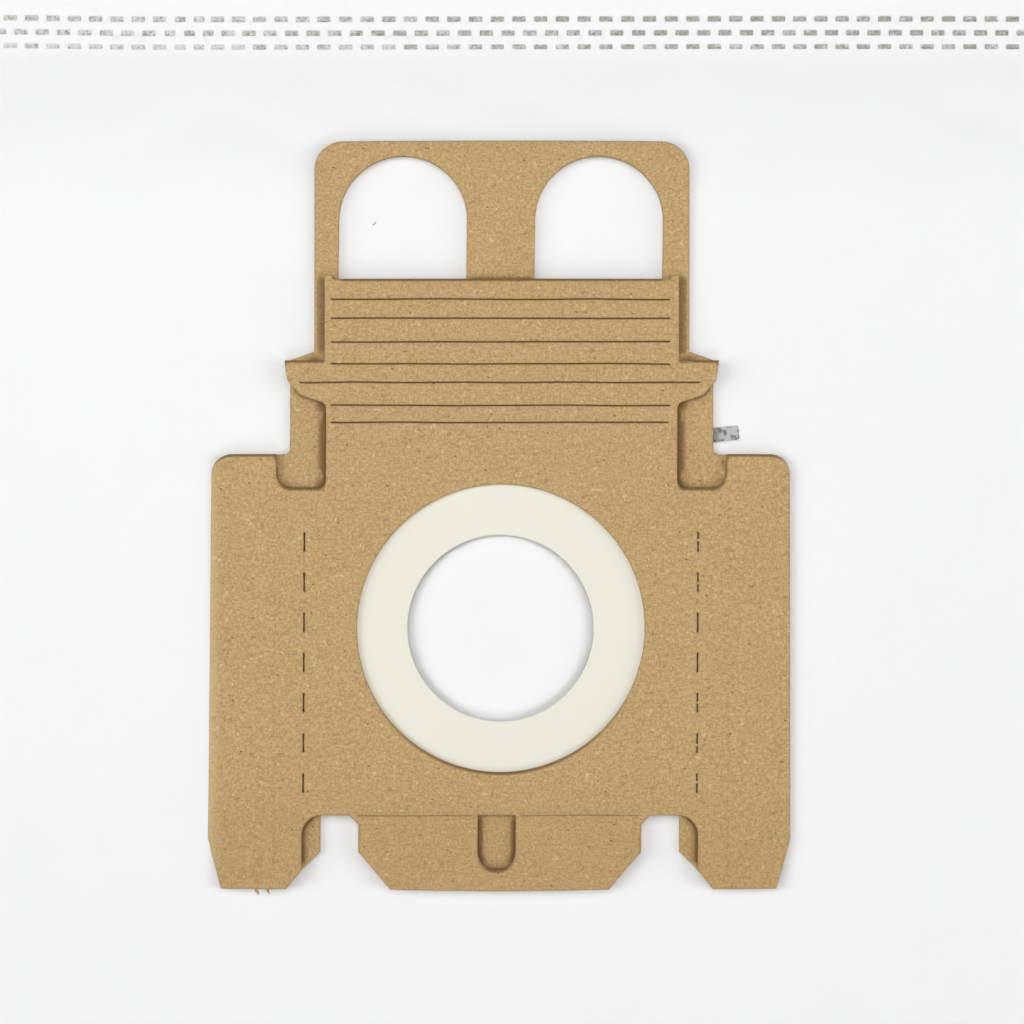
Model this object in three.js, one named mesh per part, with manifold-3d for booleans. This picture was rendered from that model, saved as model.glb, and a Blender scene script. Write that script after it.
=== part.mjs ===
// A flat vacuum dust bag: two fleece sheets welded round their rim, a collar of two die-cut kraft
// board plates glued over the inlet, and a rubber seal ring held between the plates.
// Millimetres, +Z up. The bag lies on its rear sheet, the inlet is centred on the Z axis, and +Y
// runs towards the collar's handle.
import * as THREE from 'three';
import { mergeGeometries, mergeVertices } from 'three/addons/utils/BufferGeometryUtils.js';
import Module from 'manifold-3d';

const wasm = await Module();
wasm.setup();

// Bag: two sheets with a shallow dust space between them, flat rims welded face to face.
const bagWidth = 290;
const bagHeight = 254;
const bagCornerRadius = 4;
const sheetThickness = 1;
const dustSpaceDepth = 4.6;
const plateauCornerRadius = 4;
const slopeRun = 9;
const sheetInletRadius = 20;

// Weld seam: rows of short dashes at these insets, every second row shifted by half a pitch.
const seamRowInsets = [6.7, 9.45, 12.2];
const dashPitch = 4.22;
const dashLength = 2.5;
const dashWidth = 1;
const dashDepth = 0.5;
const seamLand = 0.7;

// Weld patch: one larger mark beside the collar, partly under it.
const patchLength = 6.4;
const patchWidth = 2.7;
const patchDepth = 0.3;
const patchReach = 5.4;
const patchDrop = 14.4;
const patchTurn = THREE.MathUtils.degToRad(6);

// Collar outline shared by both plates: wings below, bottom edge, notches and centre flap.
const wingTopHalfWidth = 56.3;
const wingBottomHalfWidth = 56.8;
const wingTop = 34;
const wingCornerRadius = 3.9;
const wingChamferHeight = 9.7;
const wingChamferWidth = 2.7;
const bottomEdge = -50.9;
const wingFootHalfWidth = 41.7;
const notchTop = -36.5;
const flapHalfWidth = 27.4;
const flapCornerCut = 1.9;
const flapFootHalfWidth = 21.3;
const flapChamferHeight = 7.1;

// Back plate: the handle with its two finger holes, and the collar's lower layer.
const backThickness = 1.4;
const backHoleRadius = 21.5;
const handleHalfWidth = 36.7;
const handleTop = 95.2;
const handleCornerRadius = 5.5;
const shoulderTop = 54.1;
const shoulderBottom = 52.4;
const sideTabHalfWidth = 41.4;
const tabFootRadius = 1.2;
const backWingInset = 0.4;
const backNotchHalfWidth = 35.15;
const backNotchFootHalfWidth = 38.6;
const backNotchFootRise = 3.7;
const backNotchBendRise = 7.1;
const backFlapProud = 0.3;
const fingerHoleWidth = 25;
const fingerHoleSpacing = 38.4;
const fingerHoleTop = 92.2;
const fingerHoleArchFlat = 0.002;
const fingerHoleHidden = 2;

// Front plate: the upper section with its score lines, side recesses, and the round opening.
const frontThickness = 1.5;
const frontTop = 68.2;
const upperHalfWidth = 34.6;
const cornerNibWidth = 1.6;
const cornerNibHeight = 0.7;
const tipTop = 52.3;
const tipHalfWidth = 42.4;
const tipShoulder = [41.9, 48.4, 2];
const tipBend = [39.2, 45.4, 3];
const recessTop = 43.9;
const recessInnerHalfWidth = 34.3;
const recessOuterHalfWidth = 44;
const recessBottom = 27.4;
const recessInnerRadius = 1.4;
const recessOuterRadius = 2.9;
const frontNotchHalfWidth = 38.7;
const frontNotchRadius = 3.9;
const frontNotchFootRise = 3.6;
const openingRadius = 28.1;

// Locating slot in the centre flap.
const slotOffset = -0.6;
const slotHalfWidth = 3.7;
const slotLength = 10.8;
const slotCornerRadius = 2.7;

// Score lines, creases and perforations in the front plate.
const scoreWidth = 0.45;
const scoreDepth = 0.35;
const scoreHalfLength = 33;
const longScoreHalfLength = 39.1;
const scoreLines = [64.2, 60.5, 55.9, 51.6, 48, 43.5, 40.2];
const longScoreLine = 48;
const creaseWidth = 0.4;
const creaseDepth = 0.3;
const wingCreaseHalfWidth = 44.3;
const wingCreaseTop = 25;
const wingCreaseWidth = 0.3;
const wingCreaseDepth = 0.12;
const perforationCount = 7;
const perforationPitch = 7.84;
const perforationLength = 3.67;
const perforationWidth = 0.45;
const perforationHalfWidth = 38.4;
const perforationTop = 18.7;

// Seal ring: a flat rubber washer whose rim is trapped in a seat under the front plate.
const sealThickness = 0.5;
const sealHoleRadius = 18.2;
const sealRimOverlap = 3;
const sealLipRadius = 0.3;
const seatClearance = 0.3;

// Levels of the stack, worked out from the thicknesses.
const rimTop = sheetThickness * 2;
const plateauTop = sheetThickness + dustSpaceDepth + sheetThickness;
const backTop = plateauTop + backThickness;
const frontFace = backTop + frontThickness;
const rimWidth = Math.max(...seamRowInsets) + dashWidth / 2 + seamLand;
const sealRimRadius = openingRadius + sealRimOverlap;

const roundSteps = 72;
const sealLipSteps = 3;
const filletStep = THREE.MathUtils.degToRad(18);
const cutMargin = 1;

const fleece = new THREE.MeshStandardMaterial({ color: 0xf6f7f8, roughness: 0.95, metalness: 0 });
const kraftBack = new THREE.MeshStandardMaterial({ color: 0xba9c6c, roughness: 0.9, metalness: 0 });
const kraftFront = new THREE.MeshStandardMaterial({ color: 0xc0a272, roughness: 0.9, metalness: 0 });
const creamRubber = new THREE.MeshStandardMaterial({ color: 0xf0edde, roughness: 0.55, metalness: 0 });

// Joins closed geometries that don't touch each other into one solid for cutting and joining.
function solid(...geometries) {
  const bare = geometries.map((geometry) => {
    const copy = geometry.index ? geometry.toNonIndexed() : geometry.clone();
    copy.deleteAttribute('normal');
    copy.deleteAttribute('uv');
    return copy;
  });
  const merged = mergeVertices(mergeGeometries(bare), 1e-4);
  return new wasm.Manifold(new wasm.Mesh({
    numProp: 3,
    vertProperties: new Float32Array(merged.attributes.position.array),
    triVerts: new Uint32Array(merged.index.array),
  }));
}

function piece(name, body, material) {
  const { vertProperties, triVerts } = body.getMesh();
  const geometry = new THREE.BufferGeometry();
  geometry.setAttribute('position', new THREE.BufferAttribute(vertProperties, 3));
  geometry.setIndex(new THREE.BufferAttribute(triVerts, 1));
  const faceted = geometry.toNonIndexed();
  faceted.computeVertexNormals();
  const mesh = new THREE.Mesh(faceted, material);
  mesh.name = name;
  return mesh;
}

// Turns corners [x, y, fillet radius] into an outline, with each fillet as a short arc.
function outline(corners) {
  const points = [];
  corners.forEach(([x, y, radius = 0], i) => {
    const corner = new THREE.Vector2(x, y);
    if (radius === 0) {
      points.push(corner);
      return;
    }
    const [beforeX, beforeY] = corners.at(i - 1);
    const [afterX, afterY] = corners[(i + 1) % corners.length];
    const before = new THREE.Vector2(beforeX, beforeY).sub(corner).normalize();
    const after = new THREE.Vector2(afterX, afterY).sub(corner).normalize();
    const half = before.angleTo(after) / 2;
    const middle = before.clone().add(after).normalize();
    const centre = corner.clone().addScaledVector(middle, radius / Math.sin(half));
    const start = corner.clone().addScaledVector(before, radius / Math.tan(half)).sub(centre);
    const end = corner.clone().addScaledVector(after, radius / Math.tan(half)).sub(centre);
    const sweep = Math.atan2(start.cross(end), start.dot(end));
    const steps = Math.max(2, Math.ceil(Math.abs(sweep) / filletStep));
    for (let step = 0; step <= steps; step += 1) {
      const turned = start.clone().rotateAround(new THREE.Vector2(), (sweep * step) / steps);
      points.push(turned.add(centre));
    }
  });
  return points;
}

function mirrored(rightHalf) {
  return [...rightHalf, ...rightHalf.toReversed().map(([x, y, radius]) => [-x, y, radius])];
}

function rectangle(width, height, radius, x = 0, y = 0) {
  return outline([
    [x + width / 2, y + height / 2, radius],
    [x - width / 2, y + height / 2, radius],
    [x - width / 2, y - height / 2, radius],
    [x + width / 2, y - height / 2, radius],
  ]);
}

function circle(radius) {
  return Array.from({ length: roundSteps }, (_, i) => {
    const angle = (i / roundSteps) * Math.PI * 2;
    return new THREE.Vector2(Math.cos(angle), Math.sin(angle)).multiplyScalar(radius);
  });
}

// A flat plate cut from sheet stock, between two levels, with its holes.
function plate(points, bottom, top, holes = []) {
  const shape = new THREE.Shape(points);
  shape.holes = holes.map((hole) => new THREE.Path(hole));
  const geometry = new THREE.ExtrudeGeometry(shape, { depth: top - bottom, bevelEnabled: false });
  return geometry.translate(0, 0, bottom);
}

// The bag's raised middle: a flat top that falls to the welded rim in a rounded slope.
function pillow(top) {
  const rise = plateauTop - sheetThickness;
  const run = rimWidth + slopeRun;
  const crown = rectangle(bagWidth - run * 2, bagHeight - run * 2, plateauCornerRadius);
  const geometry = new THREE.ExtrudeGeometry(new THREE.Shape(crown), {
    depth: rimTop,
    bevelThickness: rise,
    bevelSize: slopeRun,
    bevelSegments: 6,
  });
  return solid(geometry.translate(0, 0, top - rise - rimTop));
}

// Weld dashes: V-shaped dimples sunk in the rim, in rows along all four sides.
function weldDashes() {
  const dash = new THREE.CylinderGeometry(dashDepth, dashDepth, dashLength, 4, 1);
  dash.rotateZ(Math.PI / 2);
  dash.scale(1, dashWidth / (dashDepth * 2), 1);
  const dashes = [];
  const layRow = (halfLength, shift, place) => {
    const reach = Math.floor((halfLength - dashLength / 2 - shift) / dashPitch);
    for (let i = shift ? -reach - 1 : -reach; i <= reach; i += 1) {
      dashes.push(place(dash.clone(), i * dashPitch + shift));
    }
  };
  seamRowInsets.forEach((inset, row) => {
    const shift = row % 2 === 0 ? 0 : dashPitch / 2;
    for (const side of [-1, 1]) {
      const endRow = side * (bagHeight / 2 - inset);
      layRow(bagWidth / 2 - seamRowInsets[0], shift, (mark, along) => mark.translate(along, endRow, rimTop));
      const sideRow = side * (bagWidth / 2 - inset);
      layRow(bagHeight / 2 - rimWidth, shift, (mark, along) => (
        mark.rotateZ(Math.PI / 2).translate(sideRow, along, rimTop)
      ));
    }
  });
  return solid(...dashes);
}

function weldPatch() {
  const patch = plate(rectangle(patchLength, patchWidth, 0), plateauTop - patchDepth, plateauTop + cutMargin);
  const centreX = sideTabHalfWidth + patchReach - patchLength / 2;
  return solid(patch.rotateZ(patchTurn).translate(centreX, shoulderBottom - patchDrop, 0));
}

function rearSheet() {
  return solid(plate(rectangle(bagWidth, bagHeight, bagCornerRadius), 0, sheetThickness));
}

function frontSheet() {
  const rim = solid(plate(rectangle(bagWidth, bagHeight, bagCornerRadius), sheetThickness, rimTop));
  const below = solid(plate(rectangle(bagWidth, bagHeight, 0), -plateauTop * 2, sheetThickness));
  const inlet = solid(plate(circle(sheetInletRadius), 0, plateauTop + cutMargin));
  return rim.add(pillow(plateauTop))
    .subtract(pillow(plateauTop - sheetThickness))
    .subtract(below)
    .subtract(inlet)
    .subtract(weldDashes())
    .subtract(weldPatch());
}

// The lower edge that both plates share, as the right half from the wing's top to the centre line.
function lowerEdge(wingInset, notch, flapProud) {
  const chamferTop = bottomEdge + wingChamferHeight;
  return [
    [wingTopHalfWidth - wingInset, wingTop - wingInset, wingCornerRadius],
    [wingBottomHalfWidth - wingInset, chamferTop],
    [wingBottomHalfWidth - wingChamferWidth - wingInset, bottomEdge],
    [wingFootHalfWidth, bottomEdge],
    ...notch,
    [flapHalfWidth + flapProud + flapCornerCut, notchTop],
    [flapHalfWidth + flapProud, notchTop - flapCornerCut],
    [flapHalfWidth + flapProud, bottomEdge + flapChamferHeight],
    [flapFootHalfWidth + flapProud, bottomEdge],
  ];
}

function backPlate() {
  const notch = [
    [backNotchFootHalfWidth, bottomEdge + backNotchFootRise],
    [backNotchHalfWidth, bottomEdge + backNotchBendRise],
    [backNotchHalfWidth, notchTop],
  ];
  const right = [
    [handleHalfWidth, handleTop, handleCornerRadius],
    [handleHalfWidth, shoulderTop],
    [sideTabHalfWidth, shoulderBottom],
    [sideTabHalfWidth, wingTop - backWingInset, tabFootRadius],
    ...lowerEdge(backWingInset, notch, backFlapProud),
  ];
  const holeBottom = frontTop - fingerHoleHidden;
  const fingerHoles = [-1, 1].map((side) => {
    const middle = (side * fingerHoleSpacing) / 2;
    const halfWidth = fingerHoleWidth / 2;
    const archRadius = halfWidth - fingerHoleArchFlat / 2;
    return outline([
      [middle + halfWidth, fingerHoleTop, archRadius],
      [middle - halfWidth, fingerHoleTop, archRadius],
      [middle - halfWidth, holeBottom],
      [middle + halfWidth, holeBottom],
    ]);
  });
  return solid(plate(outline(mirrored(right)), plateauTop, backTop, [circle(backHoleRadius), ...fingerHoles]));
}

function frontPlateOutline() {
  const notch = [
    [frontNotchHalfWidth, bottomEdge + frontNotchFootRise],
    [frontNotchHalfWidth, notchTop, frontNotchRadius],
  ];
  return outline(mirrored([
    [upperHalfWidth - cornerNibWidth, frontTop],
    [upperHalfWidth - cornerNibWidth, frontTop + cornerNibHeight],
    [upperHalfWidth, frontTop + cornerNibHeight],
    [upperHalfWidth, tipTop],
    [tipHalfWidth, tipTop],
    tipShoulder,
    tipBend,
    [recessInnerHalfWidth, recessTop, recessInnerRadius],
    [recessInnerHalfWidth, recessBottom, recessInnerRadius],
    [recessOuterHalfWidth, recessBottom, recessOuterRadius],
    [recessOuterHalfWidth, wingTop],
    ...lowerEdge(0, notch, 0),
  ]));
}

// Two rows of slits right through the front plate.
function perforations() {
  const slits = [-1, 1].flatMap((side) => Array.from({ length: perforationCount }, (_, i) => {
    const middle = perforationTop - perforationLength / 2 - i * perforationPitch;
    const slit = rectangle(perforationWidth, perforationLength, 0, side * perforationHalfWidth, middle);
    return plate(slit, backTop - cutMargin, frontFace + cutMargin);
  }));
  return solid(...slits);
}

function locatingSlot() {
  const slotBottom = notchTop - slotLength;
  return outline([
    [slotOffset + slotHalfWidth, notchTop],
    [slotOffset - slotHalfWidth, notchTop],
    [slotOffset - slotHalfWidth, slotBottom, slotCornerRadius],
    [slotOffset + slotHalfWidth, slotBottom, slotCornerRadius],
  ]);
}

// A shallow pressed line in the front plate's face.
function groove(x, y, width, height, depth) {
  return plate(rectangle(width, height, 0, x, y), frontFace - depth, frontFace + cutMargin);
}

function pressedLines() {
  const scores = scoreLines.map((y) => {
    const halfLength = y === longScoreLine ? longScoreHalfLength : scoreHalfLength;
    return groove(0, y, halfLength * 2, scoreWidth, scoreDepth);
  });
  const flapCrease = groove(0, notchTop, (flapHalfWidth + flapCornerCut) * 2, creaseWidth, creaseDepth);
  const wingCreaseLength = wingCreaseTop - bottomEdge + cutMargin;
  const wingCreases = [-1, 1].map((side) => groove(
    side * wingCreaseHalfWidth,
    wingCreaseTop - wingCreaseLength / 2,
    wingCreaseWidth,
    wingCreaseLength,
    wingCreaseDepth,
  ));
  return solid(...scores, flapCrease, ...wingCreases);
}

function frontPlate() {
  const holes = [circle(openingRadius), locatingSlot()];
  const seat = plate(circle(sealRimRadius + seatClearance), backTop - cutMargin, backTop + sealThickness);
  return solid(plate(frontPlateOutline(), backTop, frontFace, holes))
    .subtract(solid(seat))
    .subtract(perforations())
    .subtract(pressedLines());
}

// The seal's section, turned about the Z axis: a flat washer with a rounded lip at its hole.
function sealRing() {
  const top = backTop + sealThickness;
  const lip = Array.from({ length: sealLipSteps + 1 }, (_, i) => {
    const angle = (i / sealLipSteps) * (Math.PI / 2);
    return new THREE.Vector2(
      sealHoleRadius + sealLipRadius * (1 - Math.cos(angle)),
      top - sealLipRadius * (1 - Math.sin(angle)),
    );
  });
  const section = [
    new THREE.Vector2(sealHoleRadius, backTop),
    new THREE.Vector2(sealRimRadius, backTop),
    new THREE.Vector2(sealRimRadius, top),
    ...lip.toReversed(),
    new THREE.Vector2(sealHoleRadius, backTop),
  ];
  return solid(new THREE.LatheGeometry(section, roundSteps).rotateX(Math.PI / 2));
}

const dustBag = new THREE.Group();
dustBag.add(
  piece('rear_sheet', rearSheet(), fleece),
  piece('front_sheet', frontSheet(), fleece),
  piece('back_plate', backPlate(), kraftBack),
  piece('front_plate', frontPlate(), kraftFront),
  piece('seal_ring', sealRing(), creamRubber),
);

export default dustBag;
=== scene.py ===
# A flat vacuum dust bag: two white fleece sheets welded round their rim, a collar of two die-cut
# kraft boards over the inlet, and a cream rubber seal ring held between the boards. It lies on its
# rear sheet, and the camera looks straight down on the collar.
import math

import bpy
import numpy as np
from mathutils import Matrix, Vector, geometry


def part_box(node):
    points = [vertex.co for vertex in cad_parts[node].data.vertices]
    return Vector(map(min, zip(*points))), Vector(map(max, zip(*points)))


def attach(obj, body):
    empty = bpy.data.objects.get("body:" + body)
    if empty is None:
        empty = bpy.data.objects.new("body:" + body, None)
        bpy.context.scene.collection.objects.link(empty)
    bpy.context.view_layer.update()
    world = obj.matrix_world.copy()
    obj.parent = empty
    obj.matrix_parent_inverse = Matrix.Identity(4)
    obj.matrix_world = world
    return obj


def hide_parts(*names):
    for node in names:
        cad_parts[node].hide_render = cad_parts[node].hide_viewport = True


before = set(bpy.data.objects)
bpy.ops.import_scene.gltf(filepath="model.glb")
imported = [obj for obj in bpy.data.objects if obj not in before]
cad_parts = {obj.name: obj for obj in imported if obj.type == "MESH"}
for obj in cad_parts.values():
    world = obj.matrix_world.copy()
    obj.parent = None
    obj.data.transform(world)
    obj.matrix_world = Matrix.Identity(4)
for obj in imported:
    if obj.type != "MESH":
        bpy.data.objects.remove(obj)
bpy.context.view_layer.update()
MM = 0.001

# Camera. It hangs half a metre above the collar, a little towards the handle, and takes in the
# collar, the fleece round it and the welded seam along the bag's top edge.
camera_height = 500 * MM
view_width = 199.7 * MM
camera_data = bpy.data.cameras.new("camera")
camera_data.sensor_width = 36
camera_data.lens = camera_data.sensor_width * camera_height / view_width
camera = bpy.data.objects.new("camera", camera_data)
camera.location = (2.25 * MM, 22.7 * MM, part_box("front_plate")[1].z + camera_height)
bpy.context.collection.objects.link(camera)
bpy.context.scene.camera = camera

# Light. A wide soft lamp stands on each side of the bag, one at its foot, and one hangs above it.
# The sky is a dim, even white.
for lamp_name, place, size, power in (
    ("left_lamp", (-1.0, 0.05, 0.72), (0.72, 0.8), 7.8),
    ("right_lamp", (1.1, -0.05, 0.58), (0.6, 0.8), 7.0),
    ("foot_lamp", (0.1, -2.0, 1.7), (1.6, 1.2), 14.0),
    ("top_lamp", (0.0, 0.2, 0.62), (0.5, 0.5), 1.7),
):
    lamp_data = bpy.data.lights.new(lamp_name, "AREA")
    lamp_data.shape = "RECTANGLE"
    lamp_data.size, lamp_data.size_y = size
    lamp_data.energy = power
    lamp = bpy.data.objects.new(lamp_name, lamp_data)
    lamp.location = place
    lamp.rotation_euler = Vector(place).to_track_quat("Z", "Y").to_euler()
    bpy.context.collection.objects.link(lamp)

sky = bpy.data.worlds.new("sky")
sky.use_nodes = True
sky.node_tree.nodes["Background"].inputs["Color"].default_value = (1, 1, 1, 1)
sky.node_tree.nodes["Background"].inputs["Strength"].default_value = 0.09
bpy.context.scene.world = sky
bpy.context.scene.view_settings.view_transform = "Standard"


# Floor. A plain pale table top, which reaches well past every view.
class Finish:
    """A material, with short calls for the shader nodes that the finishes here are made of."""

    def __init__(self, name, roughness):
        self.material = bpy.data.materials.new(name)
        self.material.use_nodes = True
        self.tree = self.material.node_tree
        self.surface = self.tree.nodes["Principled BSDF"]
        self.surface.inputs["Roughness"].default_value = roughness
        coordinates = self.tree.nodes.new("ShaderNodeTexCoord")
        self.mm = self.placed(coordinates.outputs["Object"], scale=(1000, 1000, 1000))

    def placed(self, source, scale=(1, 1, 1), turn=0.0, shift=(0, 0, 0)):
        node = self.tree.nodes.new("ShaderNodeMapping")
        node.inputs["Scale"].default_value = scale
        node.inputs["Rotation"].default_value = (0, 0, turn)
        node.inputs["Location"].default_value = shift
        self.tree.links.new(source, node.inputs["Vector"])
        return node.outputs["Vector"]

    def noise(self, scale, detail=2.0, place=None, distortion=0.0):
        node = self.tree.nodes.new("ShaderNodeTexNoise")
        node.inputs["Scale"].default_value = scale
        node.inputs["Detail"].default_value = detail
        node.inputs["Distortion"].default_value = distortion
        self.tree.links.new(place or self.mm, node.inputs["Vector"])
        return node.outputs["Fac"]

    def attribute(self, name):
        node = self.tree.nodes.new("ShaderNodeAttribute")
        node.attribute_name = name
        return node.outputs["Fac"]

    def math(self, operation, *values):
        node = self.tree.nodes.new("ShaderNodeMath")
        node.operation = operation
        for socket, value in zip(node.inputs, values):
            if isinstance(value, (int, float)):
                socket.default_value = value
            else:
                self.tree.links.new(value, socket)
        return node.outputs[0]

    def ramp(self, value, start, end, low=0.0, high=1.0):
        node = self.tree.nodes.new("ShaderNodeMapRange")
        node.interpolation_type = "SMOOTHSTEP"
        self.tree.links.new(value, node.inputs["Value"])
        for socket, number in zip(("From Min", "From Max", "To Min", "To Max"), (start, end, low, high)):
            node.inputs[socket].default_value = number
        return node.outputs["Result"]

    def mix(self, amount, first, second):
        node = self.tree.nodes.new("ShaderNodeMix")
        node.data_type = "RGBA"
        for socket, value in zip((node.inputs[0], node.inputs[6], node.inputs[7]), (amount, first, second)):
            if isinstance(value, tuple):
                socket.default_value = (*value, 1)
            elif isinstance(value, (int, float)):
                socket.default_value = value
            else:
                self.tree.links.new(value, socket)
        return node.outputs[2]

    def threads(self, scale, width, share, shift):
        """Short curved threads: the level line of one noise, cut into pieces by another."""
        place = self.placed(self.mm, shift=shift)
        level = self.math("ABSOLUTE", self.math("SUBTRACT", self.noise(scale, 1.0, place, 0.7), 0.5))
        line = self.ramp(level, width * 0.3, width, 1, 0)
        pieces = self.ramp(self.noise(scale * 1.6, 0, place), 1 - share, 1.05 - share)
        return self.math("MULTIPLY", line, pieces)

    def specks(self, spacing, size, stretch, turn, shift):
        """Scattered small flakes, each longer than it is wide, one or none in a cell."""
        place = self.placed(self.mm, turn=turn, shift=shift)
        place = self.placed(place, scale=(1 / (spacing * stretch), 1 / spacing, 1 / spacing))
        node = self.tree.nodes.new("ShaderNodeTexVoronoi")
        node.voronoi_dimensions = "2D"
        node.inputs["Scale"].default_value = 1
        self.tree.links.new(place, node.inputs["Vector"])
        return self.ramp(node.outputs["Distance"], size / spacing * 0.6, size / spacing, 1, 0)

    def bump(self, height, distance):
        node = self.tree.nodes.new("ShaderNodeBump")
        node.inputs["Distance"].default_value = distance
        node.inputs["Strength"].default_value = 1
        self.tree.links.new(height, node.inputs["Height"])
        self.tree.links.new(node.outputs["Normal"], self.surface.inputs["Normal"])

    def colour(self, colour):
        if isinstance(colour, tuple):
            self.surface.inputs["Base Color"].default_value = (*colour, 1)
        else:
            self.tree.links.new(colour, self.surface.inputs["Base Color"])
        return self


def add_piece(name, mesh, *materials):
    mesh.materials.clear()
    for material in materials:
        mesh.materials.append(material)
    piece = bpy.data.objects.new(name, mesh)
    bpy.context.collection.objects.link(piece)
    return piece


table_paint = Finish("table_paint", 0.85)
table_paint.colour(table_paint.mix(table_paint.noise(0.02), (0.60, 0.61, 0.62), (0.64, 0.65, 0.66)))
table = bpy.data.meshes.new("table")
table_level = -0.02 * MM
table_corners = ((-1.5, -1.5), (1.5, -1.5), (1.5, 1.5), (-1.5, 1.5))
table.from_pydata([(x, y, table_level) for x, y in table_corners], [], [(0, 1, 2, 3)])
table = add_piece("table", table, table_paint.material)

# Rear sheet. One rectangle of thermally bonded white fleece, laid on the table. Inside the welded
# rim it is slack. It lifts towards the inlet until it nearly meets the front sheet, and bulges up
# inside the inlet itself.
fleece = Finish("white_fleece", 0.95)
felt = fleece.noise(1.6, 3, distortion=0.6)
fleece_threads = fleece.math(
    "ADD",
    fleece.threads(0.45, 0.02, 0.5, (0, 0, 0)),
    fleece.threads(0.8, 0.02, 0.5, (31, 17, 5)),
)
fleece_white = fleece.mix(fleece.noise(0.05, 2), (0.915, 0.92, 0.926), (0.935, 0.938, 0.942))
fleece.colour(fleece.mix(fleece.math("MULTIPLY", fleece_threads, 0.025), fleece_white, (0.75, 0.77, 0.8)))
fleece.bump(fleece.math("ADD", felt, fleece.math("MULTIPLY", fleece_threads, 0.3)), 0.000028)

rear_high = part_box("rear_sheet")[1]
front_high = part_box("front_sheet")[1]
half_width = rear_high.x
half_height = rear_high.y
bag_corner = 4 * MM
sheet_thickness = 0.9 * MM
rim_width = 13.4 * MM
inside_corner = 30 * MM


def inset_from_edge(x, y):
    """How far a point lies inside the bag's outline, with the corners rounded off."""
    past_x = np.abs(x) - (half_width - inside_corner)
    past_y = np.abs(y) - (half_height - inside_corner)
    outside = np.hypot(np.maximum(past_x, 0), np.maximum(past_y, 0))
    return inside_corner - outside - np.minimum(np.maximum(past_x, past_y), 0)


def ripples(x, y, seed, wavelength, count=24):
    """A smooth random relief of about unit size, as a sum of waves in all directions."""
    draw = np.random.default_rng(seed)
    total = np.zeros_like(x)
    for _ in range(count):
        angle, phase = draw.uniform(0, 2 * math.pi, 2)
        pitch = wavelength * draw.uniform(0.6, 1.7)
        total += np.sin((x * math.cos(angle) + y * math.sin(angle)) * 2 * math.pi / pitch + phase)
    return total / math.sqrt(count / 2)


def sheet_mesh(name, top_height, hole_radius=0.0, cell=2 * MM):
    """A closed sheet over the bag's outline, whose upper face lies at top_height(x, y)."""
    columns, rows = round(2 * half_width / cell), round(2 * half_height / cell)
    x, y = np.meshgrid(
        np.linspace(-half_width, half_width, columns + 1),
        np.linspace(-half_height, half_height, rows + 1),
    )
    over_x, over_y = np.abs(x) - (half_width - bag_corner), np.abs(y) - (half_height - bag_corner)
    reach = np.hypot(over_x, over_y)
    cut = (over_x > 0) & (over_y > 0) & (reach > bag_corner)
    pull = np.where(cut, 1 - bag_corner / np.maximum(reach, 1e-9), 0)
    x, y = x - np.sign(x) * over_x * pull, y - np.sign(y) * over_y * pull
    radius = np.hypot(x, y)
    near_hole = (hole_radius > 0) & (np.abs(radius - hole_radius) < cell * 0.71)
    snap = np.where(near_hole, hole_radius / np.maximum(radius, 1e-9), 1)
    x, y = x * snap, y * snap
    z = top_height(x, y)
    count = x.size
    top = np.stack([x.ravel(), y.ravel(), z.ravel()], axis=1)
    under = top - (0, 0, sheet_thickness)
    corner = (np.arange(rows)[:, None] * (columns + 1) + np.arange(columns)).ravel()
    quads = np.stack([corner, corner + 1, corner + columns + 2, corner + columns + 1], axis=1)
    middle = top[quads].mean(axis=1)
    quads = quads[np.hypot(middle[:, 0], middle[:, 1]) >= hole_radius]
    sides = {(a, b) for quad in quads.tolist() for a, b in zip(quad, quad[1:] + quad[:1])}
    edges = [(a, b) for a, b in sides if (b, a) not in sides]
    faces = quads.tolist() + (quads[:, ::-1] + count).tolist()
    faces += [(b, a, a + count, b + count) for a, b in sorted(edges)]
    used = np.unique(np.concatenate([np.asarray(face) for face in faces]))
    renumber = np.zeros(count * 2, dtype=int)
    renumber[used] = np.arange(len(used))
    mesh = bpy.data.meshes.new(name)
    mesh.from_pydata(np.vstack([top, under])[used].tolist(), [], [renumber[list(f)].tolist() for f in faces])
    mesh.shade_smooth()
    mesh.set_sharp_from_angle(angle=math.radians(50))
    return mesh


rear_lift = 4.75 * MM
lift_start, lift_reach = 22 * MM, 72 * MM
slack_run = 30 * MM
bulge_radius, bulge_run = 20.1 * MM, 3.2 * MM
bulge_height = 1.55 * MM
bulge_lean = (0.008, 0.022)


def eased(share):
    """Turns a share that grows evenly from 0 to 1 into one that starts and ends softly."""
    return share * share * (3 - 2 * share)


def rear_height(x, y):
    radius = np.hypot(x, y)
    near_inlet = np.clip(1 - (radius - lift_start) / lift_reach, 0, 1)
    slack = np.clip((inset_from_edge(x, y) - rim_width) / slack_run, 0, 1)
    lift = rear_lift * (1 - np.cos(math.pi * near_inlet)) / 2 * slack
    bulge = bulge_height + bulge_lean[0] * x + bulge_lean[1] * y
    lift += bulge * eased(np.clip((bulge_radius - radius) / bulge_run, 0, 1))
    return sheet_thickness + lift + 0.05 * MM * np.maximum(1 + ripples(x, y, 3, 40 * MM), 0) * slack


rear_fleece = add_piece("rear_fleece", sheet_mesh("rear_fleece", rear_height), fleece.material)
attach(rear_fleece, "root")
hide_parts("rear_sheet")

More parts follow.
